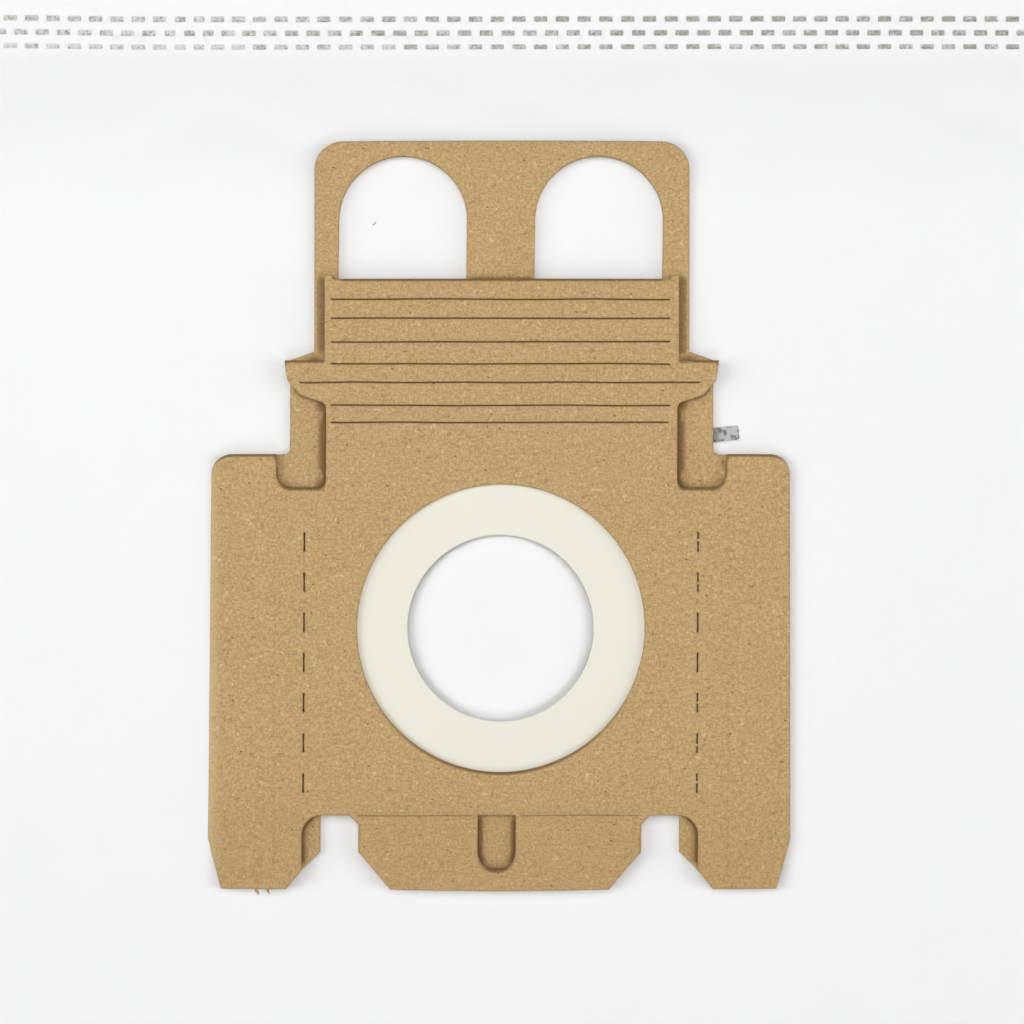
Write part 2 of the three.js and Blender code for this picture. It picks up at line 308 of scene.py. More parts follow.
# Front sheet. The same fleece with the inlet hole, raised inside the rim. Three rows of short
# dashes are welded right through both sheets, and each leaves a sunk, glassy mark.
rim_top = 2 * MM
inlet_radius = 20 * MM
slope_run = 30 * MM
first_row_inset = 6.7 * MM
row_spacing = 2.75 * MM
dash_pitch = 4.22 * MM
dash_length = 2.6 * MM
dash_width = 1.04 * MM
dash_depth = 0.3 * MM
pucker_height = 0.3 * MM
wave_height = 0.1 * MM
frill_height = 0.35 * MM
swelling_height = 0.32 * MM
finger_hole_sink = 0.62 * MM
card_low, card_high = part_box("back_plate")
# The collar's main sizes, in mm, as the boards are drawn.
handle_half, handle_top = 36.7, 95.2
shoulder_half = 41.4
wing_half = 56.4
collar_foot = -50.9
flap_line = -36.5
finger_hole_x, finger_hole_radius = 19.2, 12.5
wing_drop, left_edge_drop = 0.8, 1.25
above_wings = 36


def collar_sag(x, y):
    """How far the collar's wings are bent down into the fleece, the left one's edge most."""
    wing = np.clip((np.abs(x) - 42 * MM) / (14 * MM), 0, 1) ** 1.3
    left_edge = np.clip((-x - 53.2 * MM) / (3.6 * MM), 0, 1) ** 2 * (y < above_wings * MM)
    return -(wing_drop * wing + left_edge_drop * left_edge) * MM


def collar_cover(x, y):
    """How far inside the collar's footprint a point lies, negative outside it and in its holes."""
    cover = np.maximum.reduce([
        np.minimum(half - np.abs(x), np.minimum(y - low, high - y))
        for half, low, high in (
            (handle_half * MM, 40 * MM, handle_top * MM),
            (shoulder_half * MM, 20 * MM, 53.5 * MM),
            (wing_half * MM, collar_foot * MM, 33.8 * MM),
        )
    ])
    for hole_x in (-finger_hole_x * MM, finger_hole_x * MM):
        across = np.hypot(x - hole_x, np.maximum(y - 79.7 * MM, 0)) - finger_hole_radius * MM
        cover = np.minimum(cover, np.maximum(across, 68.2 * MM - y))
    notch = np.maximum(np.abs(np.abs(x) - 31.4 * MM) - 3.8 * MM, y - flap_line * MM)
    return np.minimum(cover, notch)


def front_height(x, y):
    inset = inset_from_edge(x, y)
    climb = np.clip((inset - rim_width) / slope_run, 0, 1)
    level = rim_top + (front_high.z - rim_top) * (1 - (1 - climb) ** 1.6)
    on_slope = np.sin(math.pi * np.clip(climb * 1.1, 0, 1)) ** 1.5
    puckers = pucker_height * ripples(x, y, 11, 20 * MM) * on_slope
    past_x = np.maximum(np.abs(x) - card_high.x, 0)
    past_y = np.maximum(np.maximum(y - card_high.y, card_low.y - y), 0)
    clear = np.clip(np.hypot(past_x, past_y) / (30 * MM), 0, 1)
    waves = wave_height * ripples(x, y, 5, 60 * MM) * clear * climb
    edge_lift = np.clip((first_row_inset - 1.5 * MM - inset) / (5 * MM), 0, 1)
    frill = frill_height * np.abs(ripples(x, y, 23, 30 * MM)) * edge_lift
    level += waves + frill - np.maximum(puckers, -0.25 * MM) * 0.6
    cover = collar_cover(x, y)
    glued = np.clip((cover - 0.8 * MM) / (2.4 * MM), 0, 1)
    swelling = swelling_height * np.clip(1 + cover / (12 * MM), 0, 1)
    in_finger_hole = (np.abs(x) < 33 * MM) & (y > 62 * MM) & (y < 94 * MM)
    swelling -= finger_hole_sink * np.clip(-cover / (2 * MM), 0, 1) * in_finger_hole
    for wing_edge, rise in ((-59 * MM, 0.4 * MM), (59 * MM, 0.5 * MM)):
        beside = np.clip(1 - np.abs(x - wing_edge) / (8 * MM), 0, 1)
        beside *= np.clip((38 * MM - y) / (9 * MM), 0, 1) * np.clip((y + 56 * MM) / (9 * MM), 0, 1)
        swelling += rise * eased(beside)
    return level + (1 - glued) * swelling + glued * (collar_sag(x, y) - 0.05 * MM)


def seam_layout():
    """Every weld mark, as its place, its turn and its stretch along and across."""
    marks = []
    for row in range(3):
        inset = first_row_inset + row * row_spacing
        shift = 0.5 * (row % 2)
        width = 0.88 if row == 2 else 1.0
        for along_half, across_half, turned in (
            (half_width - first_row_inset, half_height, False),
            (half_height - rim_width, half_width, True),
        ):
            reach = math.floor((along_half - dash_length / 2) / dash_pitch - shift)
            for side in (-1, 1):
                for step in range(-reach - round(shift * 2), reach + 1):
                    along, across = (step + shift) * dash_pitch, side * (across_half - inset)
                    if turned:
                        marks.append(((across, along, 0), math.pi / 2, (1, width)))
                        continue
                    short = 0.8 if side == 1 and -66 * MM < along < -56 * MM else 1
                    along, across = wander(along, across, side)
                    marks.append(((along, across, 0), 0, (short, width)))
    patch_x, patch_y = 43.6 * MM, 38 * MM
    patch_z = float(front_height(np.array(patch_x + 2 * MM), np.array(patch_y))) - rim_top
    patch_stretch = (6.4 * MM / dash_length, 2.8 * MM / dash_width)
    marks.append(((patch_x, patch_y, patch_z), math.radians(6), patch_stretch))
    return marks


def wander(along, across, side):
    """The welding wheel slips along the top and bottom edges, and strays at the top's left end."""
    skip = np.interp(
        along / MM,
        (-67.6, -63.5, -59.3, -55, -46.4, -33.8, -8.4, 16.9, 29.6, 39.5, 55.3, 71.1),
        (0, -0.14, -0.61, -1.17, -1.31, -1.21, -0.81, -0.34, -0.04, 0.12, 0.16, 0.08),
    )
    stray = 0.35 * max(0, -along / MM - 74) / 26 if side == 1 else 0
    return along + skip * side * MM, across + (stray + 0.06 * math.sin(along / MM / 37)) * MM


def dash_template(name, levels):
    """One dash lying along X: rounded rectangles, one for each (height, length, width)."""
    points, faces = [], []
    corners = 4
    for height, length, width in levels:
        radius = width * 0.2
        for quarter in range(4):
            sign_x, sign_y = ((1, 1), (-1, 1), (-1, -1), (1, -1))[quarter]
            for step in range(corners):
                angle = math.pi / 2 * (quarter + step / (corners - 1))
                points.append((
                    sign_x * (length / 2 - radius) + radius * math.cos(angle),
                    sign_y * (width / 2 - radius) + radius * math.sin(angle),
                    height,
                ))
    around = corners * 4
    for level in range(len(levels) - 1):
        for i in range(around):
            a, b = level * around + i, level * around + (i + 1) % around
            faces.append((a, b, b + around, a + around))
    faces.append(tuple(reversed(range(around))))
    faces.append(tuple(range((len(levels) - 1) * around, len(levels) * around)))
    mesh = bpy.data.meshes.new(name)
    mesh.from_pydata(points, [], faces)
    return mesh


def repeat_along_seam(name, template, material, seed):
    """Geometry Nodes set a copy of the template on each mark of the seam, and join the copies."""
    marks = seam_layout()
    layout = bpy.data.meshes.new(name)
    layout.from_pydata([place for place, _, _ in marks], [], [])
    turn = layout.attributes.new("turn", "FLOAT_VECTOR", "POINT")
    stretch = layout.attributes.new("stretch", "FLOAT_VECTOR", "POINT")
    for i, (_, angle, (along, across)) in enumerate(marks):
        turn.data[i].vector = (0, 0, angle)
        stretch.data[i].vector = (along, across, 1)

    tree = bpy.data.node_groups.new(name, "GeometryNodeTree")
    tree.interface.new_socket("Geometry", in_out="INPUT", socket_type="NodeSocketGeometry")
    inputs = {
        label: tree.interface.new_socket(label, in_out="INPUT", socket_type=kind)
        for label, kind in (
            ("Mark", "NodeSocketObject"),
            ("Mark Material", "NodeSocketMaterial"),
            ("Seed", "NodeSocketInt"),
        )
    }
    tree.interface.new_socket("Geometry", in_out="OUTPUT", socket_type="NodeSocketGeometry")
    nodes, links = tree.nodes, tree.links
    given, result = nodes.new("NodeGroupInput"), nodes.new("NodeGroupOutput")
    mark = nodes.new("GeometryNodeObjectInfo")
    place = nodes.new("GeometryNodeInstanceOnPoints")
    shade, store = nodes.new("FunctionNodeRandomValue"), nodes.new("GeometryNodeStoreNamedAttribute")
    store.data_type, store.domain = "FLOAT", "INSTANCE"
    store.inputs["Name"].default_value = "shade"
    realize, paint = nodes.new("GeometryNodeRealizeInstances"), nodes.new("GeometryNodeSetMaterial")
    for label, socket in (("turn", "Rotation"), ("stretch", "Scale")):
        read = nodes.new("GeometryNodeInputNamedAttribute")
        read.data_type = "FLOAT_VECTOR"
        read.inputs["Name"].default_value = label
        links.new(read.outputs["Attribute"], place.inputs[socket])
    links.new(given.outputs["Geometry"], place.inputs["Points"])
    links.new(given.outputs["Mark"], mark.inputs["Object"])
    links.new(mark.outputs["Geometry"], place.inputs["Instance"])
    links.new(given.outputs["Seed"], shade.inputs["Seed"])
    links.new(place.outputs["Instances"], store.inputs["Geometry"])
    links.new(shade.outputs[1], store.inputs["Value"])
    links.new(store.outputs["Geometry"], realize.inputs["Geometry"])
    links.new(realize.outputs["Geometry"], paint.inputs["Geometry"])
    links.new(given.outputs["Mark Material"], paint.inputs["Material"])
    links.new(paint.outputs["Geometry"], result.inputs["Geometry"])

    carrier = bpy.data.objects.new(name, layout)
    pattern = bpy.data.objects.new(name + "_pattern", template)
    for thing in (carrier, pattern):
        bpy.context.collection.objects.link(thing)
    modifier = carrier.modifiers.new("seam", "NODES")
    modifier.node_group = tree
    modifier[inputs["Mark"].identifier] = pattern
    modifier[inputs["Mark Material"].identifier] = material
    modifier[inputs["Seed"].identifier] = seed
    evaluated = carrier.evaluated_get(bpy.context.evaluated_depsgraph_get())
    mesh = bpy.data.meshes.new_from_object(evaluated)
    for thing in (carrier, pattern):
        bpy.data.objects.remove(thing)
    return mesh


floor_level = rim_top - dash_depth
dash_cutter = dash_template("dash_cutter", (
    (floor_level, dash_length, dash_width),
    (rim_top - 0.08 * MM, dash_length + 0.08 * MM, dash_width + 0.08 * MM),
    (rim_top + 0.02 * MM, dash_length + 0.26 * MM, dash_width + 0.22 * MM),
    (rim_top + 1.0 * MM, dash_length + 0.6 * MM, dash_width + 0.4 * MM),
))
cutters = repeat_along_seam("seam_cutters", dash_cutter, fleece.material, 1)
front_sheet = sheet_mesh("front_fleece", front_height, inlet_radius)
front_fleece = add_piece("front_fleece", front_sheet, fleece.material)
cutters = add_piece("seam_cutters", cutters, fleece.material)
press = front_fleece.modifiers.new("press", "BOOLEAN")
press.object = cutters
press.operation = "DIFFERENCE"
press.solver = "MANIFOLD"
pressed = bpy.data.meshes.new_from_object(front_fleece.evaluated_get(bpy.context.evaluated_depsgraph_get()))
front_fleece.modifiers.clear()
bpy.data.objects.remove(cutters)
pressed.shade_smooth()
pressed.set_sharp_from_angle(angle=math.radians(50))
front_fleece.data = pressed

# Weld films. In each mark the fleece has melted to a thin grey film, clearer in some places than
# in others.
film = Finish("welded_film", 0.42)
film_place = film.tree.nodes.new("ShaderNodeSeparateXYZ")
film.tree.links.new(film.mm, film_place.inputs[0])
film_shade = film.math("MULTIPLY", film.attribute("shade"), 0.12)
film_tone = film.math("ADD", film.noise(1.3, 2, distortion=0.5), film_shade)
for axis, start, end, low, high in (
    ("X", -90, 0, 0.16, 0), ("X", 5, 26, 0, -0.1), ("X", 30, 60, 0, 0.05), ("Y", 115.4, 116.4, 0.07, 0),
):
    film_tone = film.math("ADD", film_tone, film.ramp(film_place.outputs[axis], start, end, low, high))
film_colour = film.mix(film.ramp(film_tone, 0.42, 0.82), (0.36, 0.345, 0.32), (0.66, 0.655, 0.64))
film_pits = film.ramp(film.noise(1.9, 1, film.placed(film.mm, shift=(9, 4, 2))), 0.55, 0.66)
film_colour = film.mix(film.math("MULTIPLY", film_pits, 0.6), film_colour, (0.16, 0.14, 0.115))
patch_blots = film.ramp(film.noise(0.75, 2, film.placed(film.mm, shift=(3, 1, 0))), 0.46, 0.62)
patch_colour = film.mix(film.math("MULTIPLY", patch_blots, 0.8), (0.50, 0.51, 0.50), (0.075, 0.075, 0.07))
patch_end = film.ramp(film_place.outputs["X"], 41.8, 43.6, 0.6, 0)
patch_colour = film.mix(patch_end, patch_colour, (0.05, 0.05, 0.045))
on_patch = film.math(
    "MULTIPLY",
    film.ramp(film.math("ABSOLUTE", film_place.outputs["X"]), 60, 90, 1, 0),
    film.ramp(film.math("ABSOLUTE", film_place.outputs["Y"]), 60, 90, 1, 0),
)
film.colour(film.mix(on_patch, film_colour, patch_colour))
film.bump(film.noise(3.2, 2), 0.00004)
film_template = dash_template("film_template", (
    (floor_level - 0.05 * MM, dash_length - 0.02 * MM, dash_width - 0.02 * MM),
    (floor_level + 0.03 * MM, dash_length, dash_width),
    (floor_level + 0.045 * MM, dash_length - 0.25 * MM, dash_width - 0.25 * MM),
))
films = repeat_along_seam("weld_films", film_template, film.material, 7)
weld_films = add_piece("weld_films", films, film.material)


def thin_thread(name, spine, radii, material, sides=6):
    """A thin closed thread along a spine of points in mm, with a radius at each."""
    spine, points, faces = np.array(spine, float), [], []
    along = np.gradient(spine, axis=0)
    along /= np.linalg.norm(along, axis=1, keepdims=True)
    for centre, forward, radius in zip(spine, along, radii):
        across = np.cross(forward, (0, 0, 1))
        across /= np.linalg.norm(across)
        upward = np.cross(across, forward)
        for side in range(sides):
            angle = 2 * math.pi * side / sides
            points.append((centre + radius * (math.cos(angle) * across + math.sin(angle) * upward)) * MM)
    for ring in range(len(spine) - 1):
        for side in range(sides):
            a, b = ring * sides + side, ring * sides + (side + 1) % sides
            faces.append((a, b, b + sides, a + sides))
    faces.append(tuple(reversed(range(sides))))
    faces.append(tuple(range((len(spine) - 1) * sides, len(spine) * sides)))
    mesh = bpy.data.meshes.new(name)
    mesh.from_pydata([tuple(point) for point in points], [], faces)
    mesh.shade_smooth()
    return add_piece(name, mesh, material)


lint = Finish("grey_lint", 0.8)
lint.colour(lint.mix(lint.noise(2.5, 2), (0.16, 0.16, 0.17), (0.3, 0.3, 0.31)))
hair_x, hair_y = -24.7, 79.3
hair_z = float(front_height(np.array(hair_x * MM), np.array(hair_y * MM))) / MM + 0.06
loose_hair = thin_thread("loose_hair", [
    (hair_x - 0.4, hair_y - 0.25, hair_z), (hair_x - 0.2, hair_y - 0.2, hair_z),
    (hair_x, hair_y - 0.02, hair_z + 0.03), (hair_x + 0.18, hair_y + 0.2, hair_z + 0.03),
    (hair_x + 0.25, hair_y + 0.4, hair_z),
], (0.06, 0.1, 0.08, 0.06, 0.03), lint.material)
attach(loose_hair, "root")

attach(front_fleece, "root")
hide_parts("front_sheet")
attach(weld_films, "root")

# Back plate. The lower layer of the collar is die-cut kraft board, 1.4 mm thick, glued to the
# fleece. Its upper end is the pull handle with two finger holes.
kraft = Finish("kraft_board", 0.88)
paper = kraft.mix(kraft.noise(0.08, 2), (0.484, 0.308, 0.127), (0.536, 0.347, 0.149))
laid = kraft.noise(1, 2, kraft.placed(kraft.mm, scale=(0.8, 4.6, 1)))
crossing = kraft.noise(1, 2, kraft.placed(kraft.mm, scale=(4.6, 1.0, 1)))
grain = kraft.math("ADD", kraft.math("MULTIPLY", laid, 0.24), kraft.math("MULTIPLY", crossing, 0.18))
grain = kraft.math("ADD", grain, kraft.math("MULTIPLY", kraft.noise(2.1, 4), 0.58))
paper = kraft.mix(
    kraft.ramp(grain, 0.36, 0.64),
    kraft.mix(0.44, paper, (0.33, 0.2, 0.072)),
    kraft.mix(0.4, paper, (0.72, 0.53, 0.265)),
)
for fibre_scale, fibre_shift, fibre_colour, fibre_share in (
    (0.55, (3, 8, 1), (0.25, 0.15, 0.06), 0.36),
    (0.75, (41, 13, 6), (0.27, 0.165, 0.07), 0.32),
    (0.6, (17, 61, 2), (0.78, 0.62, 0.38), 0.36),
    (0.9, (71, 29, 9), (0.74, 0.58, 0.35), 0.3),
):
    strand = kraft.math("MULTIPLY", kraft.threads(fibre_scale, 0.036, fibre_share, fibre_shift), 0.45)
    paper = kraft.mix(strand, paper, fibre_colour)
for speck_turn, speck_shift, speck_spacing, speck_size, speck_colour in (
    (0.3, (2, 5, 0), 5.4, 0.17, (0.12, 0.07, 0.03)),
    (1.4, (11, 3, 0), 3.6, 0.11, (0.16, 0.095, 0.04)),
    (2.3, (7, 17, 0), 2.7, 0.11, (0.25, 0.15, 0.06)),
    (0.9, (23, 9, 0), 6.8, 0.12, (0.88, 0.77, 0.55)),
    (2.0, (19, 31, 0), 3.8, 0.1, (0.8, 0.64, 0.4)),
):
    chance = kraft.ramp(kraft.noise(0.21, 0, kraft.placed(kraft.mm, shift=speck_shift)), 0.5, 0.52)
    flake = kraft.specks(speck_spacing, speck_size, 1.9, speck_turn, speck_shift)
    flake = kraft.math("MULTIPLY", flake, chance)
    paper = kraft.mix(kraft.math("MULTIPLY", flake, 0.8), paper, speck_colour)
ply = kraft.noise(1, 2, kraft.placed(kraft.mm, scale=(0.6, 0.6, 9)))
cut_edge = kraft.mix(ply, (0.24, 0.15, 0.07), (0.47, 0.32, 0.165))
# The left wing's outer edge is painted pale, a painted highlight where its bent-down edge faces the left
# lamp; the foot of the collar is a little darker, and cut edges show their plies.
kraft_geometry = kraft.tree.nodes.new("ShaderNodeNewGeometry")
facing_up = kraft.tree.nodes.new("ShaderNodeSeparateXYZ")
kraft.tree.links.new(kraft_geometry.outputs["True Normal"], facing_up.inputs[0])
kraft_place = kraft.tree.nodes.new("ShaderNodeSeparateXYZ")
kraft.tree.links.new(kraft.mm, kraft_place.inputs[0])
# Painted highlight along the left wing's outer edge.
painted_edge_light = kraft.math(
    "MULTIPLY",
    kraft.ramp(kraft_place.outputs["X"], -58, -54.2, 0.55, 0),
    kraft.ramp(kraft_place.outputs["Y"], 30, 33, 1, 0),
)
paper = kraft.mix(painted_edge_light, paper, (0.74, 0.56, 0.31))
foot = kraft.ramp(kraft_place.outputs["Y"], -42, -26, 0.15, 0)
paper = kraft.mix(foot, paper, (0.33, 0.2, 0.072))
upright = kraft.ramp(kraft.math("ABSOLUTE", facing_up.outputs["Z"]), 0.2, 0.6, 1, 0)
paper = kraft.mix(upright, paper, cut_edge)
# Darkening by the boards' 'pressed' attribute: the score lines and creases, and painted shade beside the
# front plate's edges, on its edges facing +Y and round the back plate's recesses, notches and slot.
paper = kraft.mix(kraft.attribute("pressed"), paper, (0.135, 0.066, 0.018))
kraft.colour(paper)
kraft.bump(kraft.math("ADD", grain, kraft.math("MULTIPLY", kraft.noise(0.5, 1), 0.8)), 0.00003)


def rounded(corners, along=2.5, turn=math.radians(7)):
    """Turns corners (x, y, fillet radius) in mm into a closed outline with points all along it."""
    points = []
    count = len(corners)
    for i in range(count):
        x, y, radius = (*corners[i], 0)[:3]
        corner = np.array((x, y), float)
        if radius == 0:
            points.append(corner)
            continue
        before = np.array(corners[i - 1][:2], float) - corner
        after = np.array(corners[(i + 1) % count][:2], float) - corner
        before, after = before / np.linalg.norm(before), after / np.linalg.norm(after)
        half = math.acos(np.clip(before @ after, -1, 1)) / 2
        centre = corner + (before + after) / np.linalg.norm(before + after) * radius / math.sin(half)
        start, end = (corner + side * radius / math.tan(half) - centre for side in (before, after))
        sweep = math.atan2(start[0] * end[1] - start[1] * end[0], start @ end)
        steps = max(3, math.ceil(abs(sweep) / turn))
        for step in range(steps + 1):
            c, s = math.cos(sweep * step / steps), math.sin(sweep * step / steps)
            points.append(centre + (c * start[0] - s * start[1], s * start[0] + c * start[1]))
    dense = []
    for i, point in enumerate(points):
        following = points[(i + 1) % len(points)]
        pieces = max(1, math.ceil(np.linalg.norm(following - point) / along))
        dense += [point + (following - point) * k / pieces for k in range(pieces)]
    return np.array(dense)


def open_path(corners, along):
    """The same along an open path: the side that would close the outline is left off."""
    closed = rounded(corners, along)
    return closed[:np.argmin(np.linalg.norm(closed - corners[-1][:2], axis=1)) + 1]


def mirrored(right_half):
    return [*right_half, *((-x, y, *radius) for x, y, *radius in reversed(right_half))]


def circle(radius, steps=160):
    angles = np.arange(steps) * 2 * math.pi / steps
    return np.stack([np.cos(angles), np.sin(angles)], axis=1) * radius


def inside(points, loop):
    """Which points lie inside a closed loop, by crossings."""
    crossed = np.zeros(len(points), bool)
    x, y = points[:, 0], points[:, 1]
    for (ax, ay), (bx, by) in zip(loop, np.roll(loop, -1, axis=0)):
        if ay != by:
            crossed ^= ((ay > y) != (by > y)) & (x < (bx - ax) * (y - ay) / (by - ay) + ax)
    return crossed


def as_cut(x, y):
    """The die's small errors: a slight lean at the top, bowed ends, and a left wing a little wide."""
    lean = np.interp(y, (-50, 0, 30, 60, 95), (-0.2, 0.08, 0.22, 0.27, 0.29))
    left_wing = np.clip((-x - 50) / 6, 0, 1) * (y < above_wings)
    top_bow = 0.2 * np.clip((y - 60) / 30, 0, 1) * (1 - (x / 36) ** 2)
    flap_bow = -0.4 * np.clip((-44 - y) / 6, 0, 1) * np.clip(1 - (x / 24) ** 2, 0, 1)
    return x + lean - 0.5 * left_wing, y + top_bow + flap_bow


def board_mesh(name, outline, holes, bottom, top, lines=(), slits=(), underside=None, shade_top_edges=0.0, cell=2.0):
    """A die-cut board in mm. Rings inside each cut round its upper edge off, lines are pressed in it, and
    its 'pressed' attribute darkens these lines and holds painted shade.
    """
    rounding = ((0, 0.34, 0.1), (0.1, 0.15, 0.05), (0.24, 0.05, 0.01), (0.45, 0, 0))
    slit_rounding = ((0, 0.1, 0.6), (0.09, 0.02, 0.25), (0.22, 0, 0))
    loops = []
    for i, loop in enumerate((outline, *holes, *slits)):
        area = np.sum(loop[:, 0] * np.roll(loop[:, 1], -1) - loop[:, 1] * np.roll(loop[:, 0], -1))
        loops.append(loop if (area > 0) == (i == 0) else loop[::-1])
    points, heights, pressed, edges, walls = [], [], [], [], []

    def add_strip(strip, drop, press, closed):
        first = len(points)
        points.extend(strip)
        heights.extend(np.broadcast_to(drop, len(strip)))
        pressed.extend(np.broadcast_to(press, len(strip)))
        edges.extend((first + i, first + i + 1) for i in range(len(strip) - 1))
        if closed:
            edges.append((first + len(strip) - 1, first))
        return range(first, len(points))

    for number, loop in enumerate(loops):
        is_slit = number > len(holes)
        back, forth = loop - np.roll(loop, 1, axis=0), np.roll(loop, -1, axis=0) - loop
        normals = []
        for side in (back, forth):
            length = np.linalg.norm(side, axis=1, keepdims=True)
            normals.append(np.stack([-side[:, 1], side[:, 0]], axis=1) / length)
        inward = normals[0] + normals[1]
        inward /= np.maximum(np.sum(inward * normals[0], axis=1, keepdims=True), 0.35)
        # Edges that face +Y, away from the foot lamp, are darkened with painted shade, all but the two small
        # tabs at the handle's top corners.
        long_edge = (np.abs(loop[:, :1]) < 33) | (loop[:, 1:] < 60)
        painted_edge_shade = np.clip(-inward[:, 1:] * 1.6 - 0.6, 0, 1) * (0 if is_slit else shade_top_edges) * long_edge
        for ring, (inset, drop, press) in enumerate(slit_rounding if is_slit else rounding):
            darkness = press + (0.75 - press) * painted_edge_shade[:, 0] * (0 if press == 0 else 1)
            strip = add_strip(loop + inward * inset * (1 + 0.5 * painted_edge_shade), -drop, darkness, True)
            if ring == 0:
                walls.append(strip)
    for line in lines:
        for strip, drop, press in line:
            add_strip(strip, drop, press, False)
    taken = np.array(points)
    low, high = loops[0].min(axis=0), loops[0].max(axis=0)
    columns, rows = (np.arange(low[axis] + 1, high[axis], cell) for axis in (0, 1))
    grid = np.stack(np.meshgrid(columns, rows), axis=-1).reshape(-1, 2)
    grid = grid[np.min(np.linalg.norm(grid[:, None] - taken[None], axis=2), axis=1) > 0.9]
    points.extend(grid)
    heights.extend(np.zeros(len(grid)))
    pressed.extend(np.zeros(len(grid)))
    flat = [Vector(point) for point in points]
    found, _, triangles, sources, _, _ = geometry.delaunay_2d_cdt(flat, edges, [], 0, 1e-6)
    spot = np.array([tuple(point) for point in found])
    height, press = np.zeros(len(found)), np.zeros(len(found))
    owner = np.full(len(points), -1)
    for i, source in enumerate(sources):
        if source:
            height[i], press[i] = heights[source[0]], pressed[source[0]]
            owner[list(source)] = i
    triangles = np.array(triangles)
    middle = spot[triangles].mean(axis=1)
    keep = inside(middle, loops[0])
    for loop in loops[1:]:
        keep &= ~inside(middle, loop)
    triangles = triangles[keep]
    a, b, c = (spot[triangles[:, i]] for i in range(3))
    turned = (b - a)[:, 0] * (c - a)[:, 1] - (b - a)[:, 1] * (c - a)[:, 0] < 0
    triangles[turned] = triangles[turned][:, ::-1]
    x, y = as_cut(spot[:, 0], spot[:, 1])
    sag = collar_sag(x * MM, y * MM) / MM
    upper = np.stack([x, y, top + height + sag + 0.03 * ripples(x, y, 41, 50)], axis=1)
    lower = np.stack([x, y, bottom + sag + (underside(spot) if underside else 0)], axis=1)
    faces = triangles.tolist() + (triangles[:, ::-1] + len(spot)).tolist()
    for strip in walls:
        ring = owner[list(strip)]
        faces += [(q, p, p + len(spot), q + len(spot)) for p, q in zip(ring, np.roll(ring, -1))]
    mesh = bpy.data.meshes.new(name)
    mesh.from_pydata((np.vstack([upper, lower]) * MM).tolist(), [], faces)
    # The 'pressed' attribute holds each point's darkness, both of the pressed lines and of painted shade.
    shade = mesh.attributes.new("pressed", "FLOAT", "POINT")
    shade.data.foreach_set("value", np.concatenate([press, np.zeros(len(spot))]))
    mesh.validate()
    mesh.shade_smooth()
    mesh.set_sharp_from_angle(angle=math.radians(55))
    return mesh


def marked_path(path, profile, fading=0.3):
    """A line along a path: one strip for each (offset to the left, drop, darkness). Score lines and creases
    are pressed and darkened with it, and strips of painted shade are laid with it.
    """
    along = np.gradient(path, axis=0)
    along /= np.linalg.norm(along, axis=1, keepdims=True)
    across = np.stack([-along[:, 1], along[:, 0]], axis=1)
    travelled = np.concatenate([[0], np.cumsum(np.linalg.norm(np.diff(path, axis=0), axis=1))])
    fade = np.clip(np.minimum(travelled, travelled[-1] - travelled) / fading, 0, 1)
    strips = []
    for offset, drop, dark in profile:
        cut = slice(1, -1) if offset else slice(None)
        strips.append(((path + across * offset)[cut], (drop * fade)[cut], (dark * fade)[cut]))
    return strips


def marked_line(start, end, profile, stray=0.0, seed=0, fading=0.3):
    """A straight line of such strips, which strays a little to either side."""
    start, end = np.array(start, float), np.array(end, float)
    length = np.linalg.norm(end - start)
    along = (end - start) / length
    steps = np.linspace(0.8, length - 0.8, max(3, round(length / 1.2)))
    steps = np.concatenate([[0, 0.3], steps, [length - 0.3, length]])
    path = start + np.outer(steps, along)
    path += np.outer(stray * ripples(steps, 0 * steps, seed, 25), (-along[1], along[0]))
    return marked_path(path, profile, fading)


plate_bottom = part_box("back_plate")[0].z / MM
plate_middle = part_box("back_plate")[1].z / MM
plate_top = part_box("front_plate")[1].z / MM
back_hole = 21.5
back_right_half = [
    (handle_half, handle_top, 5.5), (handle_half, 54.1), (shoulder_half, 52.4), (shoulder_half, 33.95, 1.2),
    (55.9, 33.95, 3.9), (wing_half, -41.2), (53.7, collar_foot), (41.7, collar_foot),
    (38.6, -47.2), (35.15, -43.8), (35.15, flap_line),
    (29.6, flap_line, 0.5), (27.7, -38.4, 0.5), (27.7, -43.8), (21.6, collar_foot),
]
finger_holes = []
for side in (-1, 1):
    middle, arch = side * finger_hole_x, finger_hole_radius
    finger_holes.append(rounded([
        (middle + arch, 92.2, arch - 0.001), (middle - arch, 92.2, arch - 0.001),
        (middle - arch - 0.4, 66.2), (middle + arch - 0.3, 66.2),
    ]))
handle_fold_level = 68.4
# The handle's fold is a real crease in the back plate; its darkness is painted shade beside the front
# plate's top edge.
fold_crease_and_shade = ((-0.25, -0.06, 0.7), (0, -0.1, 0.5), (0.25, -0.04, 0.22), (0.6, 0, 0.05), (1.0, 0, 0))
